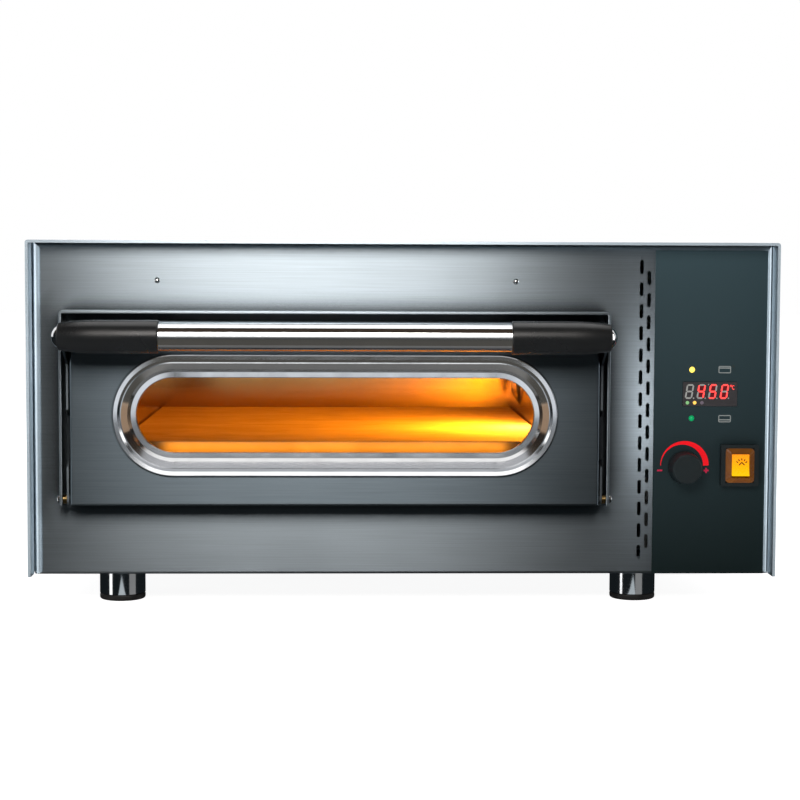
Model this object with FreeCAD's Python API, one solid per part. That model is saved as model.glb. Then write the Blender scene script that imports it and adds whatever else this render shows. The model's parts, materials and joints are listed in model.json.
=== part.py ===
import FreeCAD, Part
import math
import os

# Countertop electric pizza oven with a glazed drop-down door.
# Millimetres. X runs to the right, Y to the back and Z up from the surface that the feet stand on.
# The pieces are drawn with Y = 0 at the front edge of the casing, and moved to the middle of the
# footprint when they are written.

V = FreeCAD.Vector

# Sheet metal and fits. A cut runs past its faces, and tiny is how close counts as touching.
sheet = 1.2
casing_bend = 3.0
hem_depth = 24.0
hem_thickness = 1.8
fit = 0.3
bend_clear = 0.54
past = 1.0
tiny = 1e-6

# Feet
foot_height = 35.0
foot_diameter = 50.0
foot_wall = 2.0
pad_height = 7.0
pad_round = 2.5
pad_spigot = 9.0
foot_inset_left = 92.0
foot_inset_right = 143.0
foot_inset_front = 75.0
foot_inset_rear = 75.0
foot_bolt_radius = 4.0
foot_bolt_head = 7.0
foot_bolt_head_height = 5.0

# Baking chamber
chamber_width = 470.0
chamber_depth = 500.0
mouth_height = 135.0
sill_height = 34.0
lintel_height = 3.0
liner_flange = 14.0
stone_thickness = 15.0
stone_rise = 16.0
stone_gap = 2.0
stone_chamfer = 1.0
rail_width = 14.0
bearer_width = 30.0
bearer_inset = 60.0

# Insulation
side_insulation = 45.0
rear_insulation = 70.0
top_insulation = 50.0

# Heating elements
heater_radius = 4.0
heater_span = 70.0
heater_pitch = 145.0
heater_count = 3
heater_front_gap = 45.0
heater_tail = 22.0
upper_heater_drop = 17.0
lower_heater_rise = 14.0
heater_bar_width = 16.0
heater_bar_inset = 90.0

# Chamber lamp and temperature probe
lamp_depth = 395.0
lamp_rise = 40.0
lamp_radius = 24.0
lamp_wall = 2.0
lamp_dome = 10.0
lamp_flange = 5.0
lamp_length = 62.0
bulb_radius = 11.0
bulb_neck = 7.0
bulb_length = 34.0
probe_radius = 3.0
probe_round = 2.4
probe_reach = 30.0
probe_depth = 250.0
probe_drop = 28.0

# Front plate
fascia_recess = 25.0
fascia_bend = 6.0
fascia_wide_bend = 10.0
fascia_low_bend = 3.0
fascia_drop = 0.8
fascia_return = 16.0
rear_recess = 20.0
rear_return = 14.0
head_room = 85.0
left_margin = 34.7
slot_clear = 36.6
slot_spacing = 8.1
slot_to_panel = 6.5
slot_length = 15.2
slot_width = 4.0
slot_pitch = 23.76
slot_margin = 18.5
fascia_screw_radius = 3.2
fascia_screw_dome = 1.6
fascia_screw_height = 42.3
fascia_screw_left = 190.9
fascia_screw_right = 193.1

# Door
door_rise = 77.5
door_overlap_side = 45.5
door_overlap_low = 49.5
door_overlap_top = 11.0
door_stand = 33.0
door_return = 22.0
door_bend = 2.5
inner_flange = 10.0
inner_lift = 3.0
seal_thickness = 3.0
seal_width = 8.0
seal_clear = 4.0
door_gap = 0.4

# Door surround and hinge
surround_gap = 8.1
surround_head_gap = 7.6
surround_thickness = 3.6
surround_depth = 30.0
surround_corner = 4.2
surround_round = 1.2
hinge_rise = 6.0
hinge_set_back = 10.0
hinge_radius = 2.5
hinge_running_gap = 0.05
hinge_head_radius = 4.8
hinge_head_length = 3.8
hinge_head_round = 2.6
bush_radius = 4.75

# Window
window_inset = 24.25
window_height = 79.3
window_rise = 96.0
trim_width = 25.0
trim_depth = 12.0
trim_shoulder = 0.25
trim_shoulder_height = 2.2
trim_lip = 3.3
trim_lip_crown = 1.4
trim_lip_bend = 19.6
trim_lip_bend_height = 2.75
trim_groove = 16.3
trim_groove_half = 0.6
trim_groove_floor = 1.3
trim_crest = 1.9
trim_step_outer = 9.3
trim_step_inner = 6.0
trim_step_top = 2.4
trim_step_foot = 5.4
trim_edge = 0.8
trim_ledge_depth = 5.9
trim_edge_depth = 6.8
trim_wall = 2.0
trim_web = 11.0
trim_web_depth = 4.6
trim_spigot = 15.2
window_seal_thickness = 2.0
window_seal_inset = 1.0
glass_thickness = 4.0
glass_lap = 9.0
sleeve_inset = 2.0

# Side plates and handle
plate_thickness = 2.2
plate_gap = 1.6
plate_pad_radius = 5.0
plate_pad_rise = 175.0
plate_front = 4.0
plate_back = 22.0
waist_low = 40.0
waist_high = 94.0
waist_depth = 10.0
waist_slope = 8.0
arm_root = 150.0
arm_tip_radius = 10.0
handle_stand = 50.8
handle_drop = 14.6
tube_radius = 14.5
tube_wall = 1.5
grip_length = 103.0
grip_inner_radius = 17.2
grip_outer_radius = 14.2
grip_taper = 38.0
grip_belly = 0.7
grip_socket = 40.0
grip_socket_gap = 0.02
grip_nose = 2.0
cap_radius = 11.8
cap_height = 6.9
cap_stud_radius = 4.0
cap_stud_length = 28.0

# Control panel
panel_width = 121.7
panel_thickness = 0.8
display_width = 59.0
display_height = 26.2
display_rise = 195.2
lens_stand = 0.5
module_depth = 60.0
module_border = 5.0
indicator_offset = 26.3
indicator_shift = 19.6
indicator_radius = 2.9
indicator_dome = 1.8
indicator_length = 16.0
indicator_collar = 4.2
control_drop = 79.7

# Regulator knob
knob_shift = 26.8
knob_radius = 18.0
knob_height = 22.0
knob_gap = 0.6
knob_draft = 2.0
knob_ribs = 30
knob_rib_radius = 0.9
knob_round = 1.4
shaft_radius = 3.0
shaft_grip = 14.0
regulator_radius = 14.0
regulator_depth = 14.0
regulator_neck = 5.0
shaft_running_gap = 0.05

# Rocker switch
switch_shift = 32.3
switch_rise = 2.8
bezel_width = 41.0
bezel_height = 45.0
bezel_thickness = 8.0
bezel_round = 2.0
collar_width = 31.2
collar_height = 37.2
collar_depth = 4.0
collar_bevel = 5.6
collar_corner = 4.0
collar_inner_corner = 1.0
rocker_width = 18.4
rocker_height = 23.4
rocker_depth = 9.0
rocker_crown = 1.6
rocker_tilt = 7.0
rocker_gap = 0.4
trunnion_radius = 1.5
trunnion_reach = 2.0
switch_body_depth = 26.0

# Control compartment
tray_width = 120.0
tray_depth = 180.0
tray_front = 160.0
tray_lift = 4.0
contactor_width = 45.0
contactor_depth = 80.0
contactor_height = 75.0
contactor_step = 17.0
contactor_step_height = 21.0
terminal_width = 60.0
terminal_depth = 22.0
terminal_height = 28.0
terminal_ways = 5

# Rear panel
gland_rise = 48.0
gland_inset = 80.0
gland_bore = 5.0
gland_radius = 9.0
gland_nut = 13.0
gland_nut_height = 5.0
gland_nose = 16.0
gland_tail = 12.0
vent_count = 9
vent_length = 70.0
vent_width = 5.0
vent_pitch = 14.0
vent_drop = 60.0
vent_shift = 34.0
rear_screw_radius = 3.2
rear_screw_head = 1.8
rear_screw_margin = 16.0

# Places worked out from the sizes above
cover_gap = fit + bend_clear
side_return = sheet + cover_gap + fascia_bend
casing_bottom = foot_height
door_low = casing_bottom + door_rise
mouth_low = door_low + door_overlap_low
mouth_high = mouth_low + mouth_height
door_high = mouth_high + door_overlap_top
casing_top = door_high + head_room
chamber_floor = mouth_low - sill_height
chamber_ceiling = mouth_high + lintel_height

door_width = chamber_width + 2 * door_overlap_side
surround_width = door_width + 2 * (surround_gap + surround_thickness)
casing_width = (left_margin + surround_width + slot_clear + slot_spacing + slot_to_panel
                + panel_width + side_return)
casing_left = -casing_width / 2
casing_right = casing_width / 2
door_x = casing_left + left_margin + surround_width / 2
door_left = door_x - door_width / 2
door_right = door_x + door_width / 2
chamber_left = door_x - chamber_width / 2
chamber_right = door_x + chamber_width / 2

fascia_y = fascia_recess
fascia_back = fascia_y + sheet
chamber_front = fascia_back + sheet
chamber_back = chamber_front + chamber_depth
rear_inner = chamber_back + sheet + rear_insulation
rear_y = rear_inner + sheet
casing_depth = rear_y + rear_recess

door_front = fascia_y - door_stand
door_back = fascia_y - door_gap - seal_thickness
hinge_y = door_front + hinge_set_back
hinge_z = door_low + hinge_rise

handle_y = door_front - handle_stand
handle_z = door_high - handle_drop
plate_left = door_left - plate_gap - plate_thickness
plate_right = door_right + plate_gap + plate_thickness

window_x = door_x
window_z = door_low + window_rise
window_radius = window_height / 2
window_half = chamber_width / 2 - window_inset - window_radius

panel_right = casing_right - side_return
panel_left = panel_right - panel_width
panel_x = (panel_left + panel_right) / 2
panel_front = fascia_y - panel_thickness
slot_right_x = panel_left - slot_to_panel
slot_left_x = slot_right_x - slot_spacing
display_z = casing_bottom + display_rise
control_z = display_z - control_drop
switch_z = control_z + switch_rise
knob_x = panel_x - knob_shift
switch_x = panel_x + switch_shift
indicator_x = panel_x - indicator_shift

liner_right = chamber_right + sheet
divider_left = liner_right + side_insulation
divider_right = divider_left + sheet
base_top = casing_bottom + sheet
pan_front = fascia_y + fascia_return + fit
pan_back = rear_y - rear_return - fit
insulation_front = pan_front + sheet + fit
insulation_back = pan_back - sheet - fit
cover_inside = casing_width / 2 - sheet
cover_ceiling = casing_top - sheet
tray_side = cover_inside - cover_gap
tray_head = cover_ceiling - cover_gap
stone_top = mouth_low + stone_rise
stone_bottom = stone_top - stone_thickness
upper_heater_z = chamber_ceiling - upper_heater_drop
lower_heater_z = chamber_floor + lower_heater_rise
lamp_y = chamber_front + lamp_depth
lamp_z = stone_top + lamp_rise
probe_y = chamber_front + probe_depth
probe_z = chamber_ceiling - probe_drop
gland_x = casing_right - gland_inset
gland_z = casing_bottom + gland_rise

foot_places = [(x, y)
               for x in (casing_left + foot_inset_left, casing_right - foot_inset_right)
               for y in (foot_inset_front, casing_depth - foot_inset_rear)]
heater_places = [door_x + (index - (heater_count - 1) / 2) * heater_pitch for index in range(heater_count)]

front_reach = handle_y - grip_inner_radius
footprint_middle = (front_reach + casing_depth) / 2


# Shape helpers
def box(x0, x1, y0, y1, z0, z1):
    return Part.makeBox(x1 - x0, y1 - y0, z1 - z0, V(x0, y0, z0))


def rod(start, axis, length, radius):
    return Part.makeCylinder(radius, length, start, axis)


def tube(start, axis, length, outer, inner):
    return rod(start, axis, length, outer).cut(rod(start, axis, length, inner))


def round_edges(shape, radius, chosen):
    edges = [edge for edge in shape.Edges if chosen(edge.BoundBox)]
    return shape.makeFillet(radius, edges)


def tray(x0, x1, z0, z1, face_y, rim_y, bend):
    """Sheet tray with its flat face at face_y, rounded folds and side walls that run to rim_y."""
    low, high = min(face_y, rim_y), max(face_y, rim_y)
    step = sheet if rim_y > face_y else -sheet
    outer = box(x0, x1, low, high, z0, z1)
    outer = round_edges(outer, bend, lambda b: abs(b.YMin - face_y) + abs(b.YMax - face_y) < tiny)
    inside = face_y + step
    beyond = rim_y + step
    low, high = min(inside, beyond), max(inside, beyond)
    inner = box(x0 + sheet, x1 - sheet, low, high, z0 + sheet, z1 - sheet)
    inner = round_edges(inner, bend - sheet, lambda b: abs(b.YMin - inside) + abs(b.YMax - inside) < tiny)
    return outer.cut(inner)


def stadium(x, z, half, radius, y0, y1):
    """Prism along Y with straight top and bottom runs and half-round ends."""
    top_left = V(x - half, y0, z + radius)
    top_right = V(x + half, y0, z + radius)
    low_right = V(x + half, y0, z - radius)
    low_left = V(x - half, y0, z - radius)
    edges = [Part.LineSegment(top_left, top_right).toShape(),
             Part.Arc(top_right, V(x + half + radius, y0, z), low_right).toShape(),
             Part.LineSegment(low_right, low_left).toShape(),
             Part.Arc(low_left, V(x - half - radius, y0, z), top_left).toShape()]
    return Part.Face(Part.Wire(edges)).extrude(V(0, y1 - y0, 0))


def window_prism(outward, y0, y1):
    """Window outline, grown outward, as a prism."""
    return stadium(window_x, window_z, window_half, window_radius + outward, y0, y1)


def window_ring(section):
    """Carry a section round the window. Its strokes hold (outward, depth) points, three for an arc."""
    def face(sign, centre_x):
        edges = []
        for stroke in section:
            points = [V(centre_x, door_front + depth, window_z + sign * (window_radius + outward))
                      for outward, depth in stroke]
            curve = Part.Arc(*points) if len(points) == 3 else Part.LineSegment(*points)
            edges.append(curve.toShape())
        return Part.Face(Part.Wire(edges))

    left_x = window_x - window_half
    right_x = window_x + window_half
    run = V(2 * window_half, 0, 0)
    axis = V(0, 1, 0)
    top = face(1, left_x).extrude(run)
    low = face(-1, left_x).extrude(run)
    right = face(1, right_x).revolve(V(right_x, 0, window_z), axis, 180)
    left = face(1, left_x).revolve(V(left_x, 0, window_z), axis, -180)
    return top.multiFuse([right, low, left]).removeSplitter()


def outline(points):
    """Closed run of straight strokes."""
    return [(points[index], points[(index + 1) % len(points)]) for index in range(len(points))]


def flat_plate(strokes, x0, x1):
    """Plate between x0 and x1 from strokes of (y, z) points, three for an arc."""
    edges = []
    for stroke in strokes:
        points = [V(x0, y, z) for y, z in stroke]
        curve = Part.Arc(*points) if len(points) == 3 else Part.LineSegment(*points)
        edges.append(curve.toShape())
    return Part.Face(Part.Wire(edges)).extrude(V(x1 - x0, 0, 0))


def turned(profile, start, along):
    """Solid of revolution. The profile's strokes hold (distance along the axis, radius) points."""
    across = V(0, 0, 1) if abs(along.z) < 0.5 else V(1, 0, 0)
    edges = []
    for stroke in profile:
        points = [start + along * distance + across * radius for distance, radius in stroke]
        curve = Part.Arc(*points) if len(points) == 3 else Part.LineSegment(*points)
        edges.append(curve.toShape())
    return Part.Face(Part.Wire(edges)).revolve(start, along, 360)


def dome(start, along, radius, height):
    """Low domed head that stands on start."""
    bow = (radius * radius + height * height) / (2 * height)
    middle = height - bow + math.sqrt(bow * bow - radius * radius / 4)
    return turned([((0, 0), (0, radius)), ((0, radius), (middle, radius / 2), (height, 0)),
                   ((height, 0), (0, 0))], start, along)


def write(name, *shapes):
    solids = []
    for shape in shapes:
        solids.extend(shape.Solids)
    whole = solids[0] if len(solids) == 1 else Part.makeCompound(solids)
    whole = whole.copy()
    whole.translate(V(0, -footprint_middle, 0))
    whole.exportStep("parts/" + name + ".step")


X = V(1, 0, 0)
Y = V(0, 1, 0)
Z = V(0, 0, 1)


# Casing
def outer_cover():
    def bridge(inset, head, y0, y1, bend):
        shape = box(casing_left + inset, casing_right - inset, y0, y1, casing_bottom, casing_top - head)
        return round_edges(shape, bend, lambda b: b.ZMin > casing_top - head - tiny and b.XLength < tiny)

    shell = bridge(0, 0, 0, casing_depth, casing_bend)
    shell = shell.cut(bridge(sheet, sheet, -past, casing_depth + past, casing_bend - sheet))
    hem = bridge(sheet, sheet, 0, hem_depth, casing_bend - sheet)
    hem = hem.cut(bridge(sheet + hem_thickness, sheet + hem_thickness, -past, hem_depth + past, sheet / 2))
    return shell.fuse(hem).removeSplitter()


def base_pan():
    wall_top = casing_bottom + fascia_return
    outer = box(-tray_side, tray_side, pan_front, pan_back, casing_bottom, wall_top)
    bounds = outer.BoundBox
    inner = box(bounds.XMin + sheet, bounds.XMax - sheet, bounds.YMin + sheet, bounds.YMax - sheet,
                base_top, wall_top + past)
    pan = outer.cut(inner)
    for x, y in foot_places:
        pan = pan.cut(rod(V(x, y, casing_bottom - past), Z, sheet + 2 * past, foot_bolt_radius + fit))
    return pan


def vent_slots():
    top = cover_ceiling - vent_drop
    half = (vent_length - vent_width) / 2
    return [stadium(x, top - index * vent_pitch, half, vent_width / 2, rear_inner - past, rear_y + past)
            for x in (door_x, panel_x - vent_shift) for index in range(vent_count)]


rear_low = casing_bottom
rear_high = tray_head
rear_screw_places = [(x, z)
                     for x in (-tray_side + rear_screw_margin, 0, tray_side - rear_screw_margin)
                     for z in (rear_low + rear_screw_margin, rear_high - rear_screw_margin)]


def rear_panel():
    panel = tray(-tray_side, tray_side, rear_low, rear_high, rear_y, rear_y - rear_return, casing_bend)
    cuts = vent_slots()
    cuts.append(rod(V(gland_x, rear_inner - past, gland_z), Y, sheet + 2 * past, gland_radius + fit))
    for x, z in rear_screw_places:
        cuts.append(rod(V(x, rear_inner - past, z), Y, sheet + 2 * past, rear_screw_radius / 2 + fit))
    return panel.cut(Part.makeCompound(cuts))


def rear_screws():
    screws = []
    for x, z in rear_screw_places:
        shank = rod(V(x, rear_y - 3 * sheet, z), Y, 3 * sheet, rear_screw_radius / 2)
        screws.append(dome(V(x, rear_y, z), Y, rear_screw_radius, rear_screw_head).fuse(shank))
    return screws


def divider_panel():
    wall = box(divider_left, divider_right, insulation_front, insulation_back, base_top,
               cover_ceiling - fit)
    return wall.cut(rod(V(divider_left - past, lamp_y, lamp_z), X, sheet + 2 * past, lamp_radius + fit))


# Front plate
fascia_low = casing_bottom - fascia_drop
fascia_high = tray_head
fascia_screw_places = [(door_x - fascia_screw_left, casing_top - fascia_screw_height),
                       (door_x + fascia_screw_right, casing_top - fascia_screw_height)]


def slot_column(x, first_z, last_z):
    count = int((first_z - last_z) / slot_pitch + tiny) + 1
    half = (slot_length - slot_width) / 2
    radius = slot_width / 2
    slots = []
    for index in range(count):
        z = first_z - index * slot_pitch
        slot = box(x - radius, x + radius, fascia_y - past, fascia_back + past, z - half, z + half)
        for end in (z - half, z + half):
            slot = slot.fuse(rod(V(x, fascia_y - past, end), Y, sheet + 2 * past, radius))
        slots.append(slot.removeSplitter())
    return slots


def control_holes(y0, y1):
    span = y1 - y0
    return [box(panel_x - display_width / 2 - fit, panel_x + display_width / 2 + fit, y0, y1,
                display_z - display_height / 2 - fit, display_z + display_height / 2 + fit),
            rod(V(indicator_x, y0, display_z + indicator_offset), Y, span, indicator_radius + fit),
            rod(V(indicator_x, y0, display_z - indicator_offset), Y, span, indicator_radius + fit),
            rod(V(knob_x, y0, control_z), Y, span, regulator_neck + fit),
            box(switch_x - collar_width / 2 - fit, switch_x + collar_width / 2 + fit, y0, y1,
                switch_z - collar_height / 2 - fit, switch_z + collar_height / 2 + fit)]


def folded_front(inset, face_y, rim_y):
    """Block of the front plate: its left fold is wide, its lower fold tight and the other two alike."""
    left_x = inset - tray_side
    low_z = fascia_low + inset
    block = box(left_x, tray_side - inset, face_y, rim_y, low_z, fascia_high - inset)

    def folded(bend, chosen):
        return round_edges(block, bend - inset, lambda b: b.YMax < face_y + tiny and chosen(b))

    left = folded(fascia_wide_bend, lambda b: b.XMax < left_x + tiny)
    lower = folded(fascia_low_bend, lambda b: b.ZMax < low_z + tiny)
    others = folded(fascia_bend, lambda b: b.XMax > left_x + tiny and b.ZMax > low_z + tiny)
    return left.common(lower).common(others)


def front_fascia():
    rim = fascia_y + fascia_return
    plate = folded_front(0, fascia_y, rim).cut(folded_front(sheet, fascia_back, rim + past))
    first = casing_top - slot_margin - slot_length / 2
    last = casing_bottom + slot_margin
    cuts = slot_column(slot_left_x, first, last)
    cuts += slot_column(slot_right_x, first - slot_pitch / 2, last)
    cuts += control_holes(fascia_y - past, fascia_back + past)
    cuts.append(box(chamber_left, chamber_right, fascia_y - past, fascia_back + past, mouth_low, mouth_high))
    for x, z in fascia_screw_places:
        cuts.append(rod(V(x, fascia_y - past, z), Y, sheet + 2 * past, fascia_screw_radius / 2 + fit))
    return plate.cut(Part.makeCompound(cuts))


def fascia_screws():
    screws = []
    for x, z in fascia_screw_places:
        shank = rod(V(x, fascia_y, z), Y, 6 * sheet, fascia_screw_radius / 2)
        screws.append(dome(V(x, fascia_y, z), -Y, fascia_screw_radius, fascia_screw_dome).fuse(shank))
    return screws


def door_surround():
    inner_left = door_left - surround_gap
    inner_right = door_right + surround_gap
    inner_top = door_high + surround_head_gap
    front = fascia_y - surround_depth

    def arch(grow, y0, y1, bend):
        shape = box(inner_left - grow, inner_right + grow, y0, y1, door_low, inner_top + grow)
        return round_edges(shape, bend, lambda b: b.ZMin > inner_top + grow - tiny and b.XLength < tiny)

    strip = arch(surround_thickness, front, fascia_y, surround_corner)
    strip = strip.cut(arch(0, front - past, fascia_y + past, surround_corner - surround_thickness))
    strip = round_edges(strip, surround_round, lambda b: b.YMax < front + tiny and b.ZMax > door_low + past)
    pivots = [rod(V(inner_left - 2 * surround_thickness, hinge_y, hinge_z), X,
                  inner_right - inner_left + 4 * surround_thickness, hinge_radius + hinge_running_gap)]
    return strip.cut(Part.makeCompound(pivots))


def hinge_hardware():
    screws, bushes = [], []
    for side, edge in ((-1, door_left), (1, door_right)):
        along = X * -side
        outer = V(edge + side * (surround_gap + surround_thickness), hinge_y, hinge_z)
        inner = V(edge + side * surround_gap, hinge_y, hinge_z)
        shank = rod(outer, along, surround_thickness + surround_gap - fit, hinge_radius)
        head = rod(outer, -along, hinge_head_length, hinge_head_radius)
        head = round_edges(head, hinge_head_round,
                           lambda b: b.XLength < tiny and abs(b.XMin - outer.x) > hinge_head_length / 2)
        screws.append(head.fuse(shank))
        bushes.append(tube(inner, along, surround_gap - plate_gap - plate_thickness - fit, bush_radius,
                           hinge_radius + hinge_running_gap))
    return screws, bushes


# Chamber
def heater_holes(y0, y1):
    cuts = []
    for x in heater_places:
        for leg in (x - heater_span / 2, x + heater_span / 2):
            for z in (upper_heater_z, lower_heater_z):
                cuts.append(rod(V(leg, y0, z), Y, y1 - y0, heater_radius + fit))
    return cuts


def chamber_liner():
    shell = box(chamber_left - sheet, chamber_right + sheet, fascia_back, chamber_back + sheet,
                chamber_floor - sheet, chamber_ceiling + sheet)
    shell = shell.cut(box(chamber_left, chamber_right, chamber_front, chamber_back, chamber_floor,
                          chamber_ceiling))
    flange = box(chamber_left - liner_flange, chamber_right + liner_flange, fascia_back, chamber_front,
                 chamber_floor - liner_flange, chamber_ceiling + liner_flange)
    shell = shell.fuse(flange).removeSplitter()
    cuts = heater_holes(chamber_back - past, chamber_back + sheet + past)
    cuts.append(box(chamber_left, chamber_right, fascia_back - past, chamber_front + past, mouth_low,
                    mouth_high))
    cuts.append(rod(V(chamber_right - past, lamp_y, lamp_z), X, sheet + 2 * past, lamp_radius + fit))
    cuts.append(rod(V(chamber_right - past, probe_y, probe_z), X, sheet + 2 * past, probe_radius + fit))
    return shell.cut(Part.makeCompound(cuts))


def stone_rails():
    rails = []
    for wall, side in ((chamber_left, 1), (chamber_right, -1)):
        low, high = sorted((wall, wall + side * rail_width))
        ledge = box(low, high, chamber_front, chamber_back, stone_bottom - sheet, stone_bottom)
        web_low, web_high = sorted((wall, wall + side * sheet))
        web = box(web_low, web_high, chamber_front, chamber_back, chamber_floor, stone_bottom)
        rails.append(ledge.fuse(web).removeSplitter())
    return rails


def baking_stone():
    slab = box(chamber_left + stone_gap, chamber_right - stone_gap, chamber_front + stone_gap,
               chamber_back - stone_gap, stone_bottom, stone_top)
    rim = [edge for edge in slab.Edges if edge.BoundBox.ZMin > stone_top - tiny]
    return slab.makeChamfer(stone_chamfer, rim)


def hairpin(x, z):
    bend = heater_span / 2
    nose = chamber_front + heater_front_gap
    rear = chamber_back + sheet + heater_tail
    left, right = x - bend, x + bend
    start = V(left, rear, z)
    path = Part.Wire([Part.LineSegment(start, V(left, nose + bend, z)).toShape(),
                      Part.Arc(V(left, nose + bend, z), V(x, nose, z), V(right, nose + bend, z)).toShape(),
                      Part.LineSegment(V(right, nose + bend, z), V(right, rear, z)).toShape()])
    section = Part.Wire([Part.makeCircle(heater_radius, start, -Y)])
    return path.makePipeShell([section], True, False)


def heater_supports():
    supports = []
    reach = heater_places[-1] - door_x + heater_span / 2 + 3 * heater_radius
    for y in (chamber_front + heater_bar_inset + heater_span / 2, chamber_back - heater_bar_inset):
        for z, wall, sign in ((upper_heater_z, chamber_ceiling, 1), (lower_heater_z, chamber_floor, -1)):
            under = z - heater_radius - fit
            bar = box(door_x - reach, door_x + reach, y, y + heater_bar_width, under - sheet, under)
            for end in (door_x - reach, door_x + reach - sheet):
                low, high = sorted((wall, under - sheet if sign > 0 else under))
                bar = bar.fuse(box(end, end + sheet, y, y + heater_bar_width, low, high))
            supports.append(bar.removeSplitter())
    return supports


bearer_places = (chamber_front + bearer_inset, chamber_back - bearer_inset - bearer_width)


def chamber_bearers():
    bearers = []
    for y in bearer_places:
        block = box(chamber_left, chamber_right, y, y + bearer_width, base_top, chamber_floor - sheet)
        hollow = box(chamber_left - past, chamber_right + past, y + sheet, y + bearer_width + past,
                     base_top + sheet, chamber_floor - 2 * sheet)
        bearers.append(block.cut(hollow))
    return bearers


def insulation():
    low, high = chamber_floor - sheet, chamber_ceiling + sheet
    left, right = chamber_left - sheet, chamber_right + sheet
    front, back = insulation_front, chamber_back + sheet
    over = divider_left - fit
    slabs = {
        "insulation_left": box(-tray_side + sheet + fit, left - fit, front, insulation_back, base_top,
                               cover_ceiling - fit),
        "insulation_right": box(right + fit, over, front, back, base_top, high),
        "insulation_top": box(left, over, front, back, high + fit, high + top_insulation),
        "insulation_bottom": box(left, right, front, back, base_top, low - fit),
        "insulation_rear": box(left, over, back + fit, insulation_back, base_top, high),
    }
    hollows = heater_holes(back, back + heater_tail + fit)
    hollows.append(rod(V(right, lamp_y, lamp_z), X, side_insulation, lamp_radius + fit))
    hollows.append(rod(V(right, probe_y, probe_z), X, side_insulation, probe_radius + fit))
    for y in bearer_places:
        hollows.append(box(left, right, y - fit, y + bearer_width + fit, base_top, low))
    for x, y in foot_places:
        hollows.append(rod(V(x, y, base_top), Z, foot_bolt_head_height + fit, foot_bolt_head + fit))
    hollows = Part.makeCompound(hollows)
    return {name: slab.cut(hollows) for name, slab in slabs.items()}


def lamp():
    start = V(chamber_right, lamp_y, lamp_z)
    flange = V(chamber_right - sheet, lamp_y, lamp_z)
    housing = tube(start, X, lamp_length, lamp_radius, lamp_radius - lamp_wall)
    housing = housing.fuse(rod(start + X * (lamp_length - lamp_wall), X, lamp_wall, lamp_radius))
    ring = tube(flange, X, sheet, lamp_radius + lamp_flange, lamp_radius - lamp_wall)
    housing = housing.fuse(ring).removeSplitter()
    glass_radius = lamp_radius + lamp_flange / 2
    glass = dome(flange, -X, glass_radius, lamp_dome)
    hollow = dome(flange, -X, glass_radius - 2 * lamp_wall, lamp_dome - lamp_wall)
    glass = glass.cut(hollow)
    cap = V(chamber_right + lamp_length - lamp_wall, lamp_y, lamp_z)
    globe = bulb_length - bulb_radius
    throat = (globe - math.sqrt(bulb_radius ** 2 - bulb_neck ** 2), bulb_neck)
    bulb = turned([((0, 0), (0, bulb_neck)), ((0, bulb_neck), throat),
                   (throat, (globe, bulb_radius), (bulb_length, 0)), ((bulb_length, 0), (0, 0))], cap, -X)
    return housing, glass, bulb


def temperature_probe():
    start = V(chamber_right - probe_reach, probe_y, probe_z)
    stem = rod(start, X, probe_reach + sheet + side_insulation - fit, probe_radius)
    stem = round_edges(stem, probe_round, lambda b: b.XMax < start.x + tiny)
    nut = rod(V(chamber_right - sheet, probe_y, probe_z), X, sheet, 2 * probe_radius)
    return stem.fuse(nut).removeSplitter()


# Door
def door_outer_panel():
    rim = door_front + door_return
    panel = tray(door_left, door_right, door_low, door_high, door_front, rim, door_bend)
    return panel.cut(window_prism(trim_spigot + fit, door_front - past, door_front + sheet + past))


inner_left = door_left + sheet + fit
inner_right = door_right - sheet - fit
inner_low = hinge_z + inner_lift
inner_high = door_high - sheet - fit


def door_inner_panel():
    rim = door_back - inner_flange
    panel = tray(inner_left, inner_right, inner_low, inner_high, door_back, rim, door_bend)
    return panel.cut(window_prism(sleeve_inset, door_back - sheet - past, door_back + past))


def door_insulation():
    slab = box(inner_left + sheet + fit, inner_right - sheet - fit, door_front + sheet + fit,
               door_back - sheet - fit, inner_low + sheet + fit, inner_high - sheet - fit)
    round_clear = door_bend + fit
    slab = round_edges(slab, round_clear, lambda b: b.YMax < door_front + sheet + fit + tiny
                       or b.YMin > door_back - sheet - fit - tiny)
    return slab.cut(window_prism(trim_width - seal_clear, door_front, door_back))


def door_seal():
    inner = seal_clear
    outer = seal_clear + seal_width
    ring = box(chamber_left - outer, chamber_right + outer, door_back, door_back + seal_thickness,
               mouth_low - outer, mouth_high + seal_width)
    return ring.cut(box(chamber_left - inner, chamber_right + inner, door_back - past, fascia_y,
                        mouth_low - inner, mouth_high))


def window_trim():
    rim = (trim_width, 0)
    shoulder = (trim_width - trim_shoulder, -trim_shoulder_height)
    lip_crown = (trim_width - trim_lip_crown, -trim_lip)
    lip_bend = (trim_lip_bend, -trim_lip_bend_height)
    lip_inner = (trim_groove + trim_groove_half, -trim_crest)
    groove = (trim_groove, -trim_groove_floor)
    crest = (trim_groove - trim_groove_half, -trim_crest)
    step_top = (trim_step_outer, trim_step_top)
    step_foot = (trim_step_inner, trim_step_foot)
    ledge = (trim_edge, trim_ledge_depth)
    edge = (0, trim_edge_depth)
    foot = (0, trim_depth)
    foot_back = (trim_wall, trim_depth)
    ledge_back = (trim_wall, trim_ledge_depth + trim_wall)
    step_back = (trim_step_inner + trim_wall, trim_step_foot + trim_wall)
    web = (trim_web, trim_web_depth)
    web_back = (trim_spigot, trim_web_depth)
    spigot = (trim_spigot, 0)
    strokes = [(rim, shoulder, lip_crown), (lip_crown, lip_bend), (lip_bend, lip_inner),
               (lip_inner, groove), (groove, crest), (crest, step_top), (step_top, step_foot),
               (step_foot, ledge), (ledge, edge), (edge, foot), (foot, foot_back),
               (foot_back, ledge_back), (ledge_back, step_back), (step_back, web), (web, web_back),
               (web_back, spigot), (spigot, rim)]
    return window_ring(strokes)


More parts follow.
